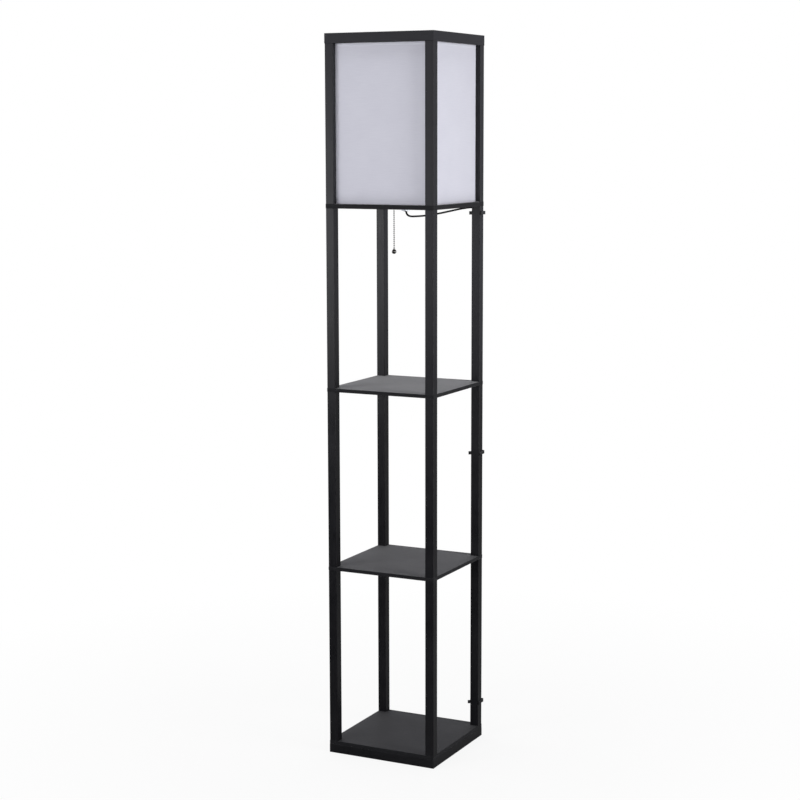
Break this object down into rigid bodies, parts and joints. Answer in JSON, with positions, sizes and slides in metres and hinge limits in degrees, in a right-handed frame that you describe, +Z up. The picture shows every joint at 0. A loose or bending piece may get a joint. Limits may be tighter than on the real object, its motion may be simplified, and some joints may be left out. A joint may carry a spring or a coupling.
{
  "type": "shelf floor lamp",
  "caption": "Tall square floor lamp: open shelf tower of posts and boards with a fabric-panelled shade on top, pull-chain switch and rear cord.",
  "frame": {"origin": "centre of the square footprint, on the floor under the base rails", "axes": "+Z up; -Y is the front, the wider face in the picture; +X is the lamp's right-hand side seen from the front; the cord runs down the rear right post"},
  "size_m": [0.2647, 0.2971, 1.6],
  "materials": {
    "black_wood": "black satin paint on wood",
    "shade_fabric": "white woven fabric on a stiff sheet",
    "zinc_steel": "zinc-plated steel",
    "black_plastic": "moulded black plastic",
    "cord_black": "soft black cord jacket",
    "aluminium_shell": "bright formed aluminium",
    "brass": "plain brass",
    "nickel": "nickel-plated",
    "bulb_plastic": "white moulded plastic",
    "bulb_diffuser": "frosted white plastic dome"
  },
  "bodies": {
    "lamp": {"base_board": "black_wood", "base_bolts": "zinc_steel", "base_front_rail": "black_wood", "base_left_rail": "black_wood", "base_rear_rail": "black_wood", "base_right_rail": "black_wood", "cable_clips": "black_plastic", "centre_contact": "brass", "chain_bushing": "nickel", "chain_guide": "nickel", "connecting_studs": "zinc_steel", "cord_bush": "black_plastic", "cord_hank": "cord_black", "cord_tie": "black_plastic", "holder_cup": "black_plastic", "holder_shell": "black_plastic", "lower_post_front_left": "black_wood", "lower_post_front_right": "black_wood", "lower_post_rear_left": "black_wood", "lower_post_rear_right": "black_wood", "lower_shelf": "black_wood", "middle_post_front_left": "black_wood", "middle_post_front_right": "black_wood", "middle_post_rear_left": "black_wood", "middle_post_rear_right": "black_wood", "nipple_nut": "zinc_steel", "plug_blades": "brass", "plug_body": "cord_black", "power_cord": "cord_black", "screw_shell": "aluminium_shell", "shade_board": "black_wood", "shade_panel_front": "shade_fabric", "shade_panel_left": "shade_fabric", "shade_panel_rear": "shade_fabric", "shade_panel_right": "shade_fabric", "shade_post_front_left": "black_wood", "shade_post_front_right": "black_wood", "shade_post_rear_left": "black_wood", "shade_post_rear_right": "black_wood", "switch_block": "black_plastic", "threaded_inserts": "zinc_steel", "threaded_nipple": "zinc_steel", "top_bolts": "zinc_steel", "top_front_rail": "black_wood", "top_left_rail": "black_wood", "top_rear_rail": "black_wood", "top_right_rail": "black_wood", "upper_post_front_left": "black_wood", "upper_post_front_right": "black_wood", "upper_post_rear_left": "black_wood", "upper_post_rear_right": "black_wood", "upper_shelf": "black_wood"},
    "chain_pull": {"pull_chain_upper": "nickel"},
    "chain_link": {"pull_chain_link": "nickel"},
    "chain_drop": {"pull_chain_drop": "nickel", "pull_ball": "nickel"},
    "bulb": {"bulb_cap": "aluminium_shell", "bulb_housing": "bulb_plastic", "bulb_globe": "bulb_diffuser"}
  },
  "joints": [
    {"name": "chain_pull", "type": "slide", "parent": "lamp", "child": "chain_pull", "axis": [0, 0, -1], "range_m": [0, 0.008], "stiffness_N_per_m": 500, "springref_m": -0.002},
    {"name": "chain_swing_front_back", "type": "hinge", "parent": "chain_pull", "child": "chain_link", "pos_m": [-0.029, 0, 1.22365], "axis": [1, 0, 0], "range_deg": [-30, 30]},
    {"name": "chain_swing_side_to_side", "type": "hinge", "parent": "chain_link", "child": "chain_drop", "pos_m": [-0.029, 0, 1.21915], "axis": [0, 1, 0], "range_deg": [-30, 30]},
    {"name": "bulb_lift_out", "type": "slide", "parent": "lamp", "child": "bulb", "axis": [0, 0, 1], "range_m": [0, 0.35]}
  ]
}
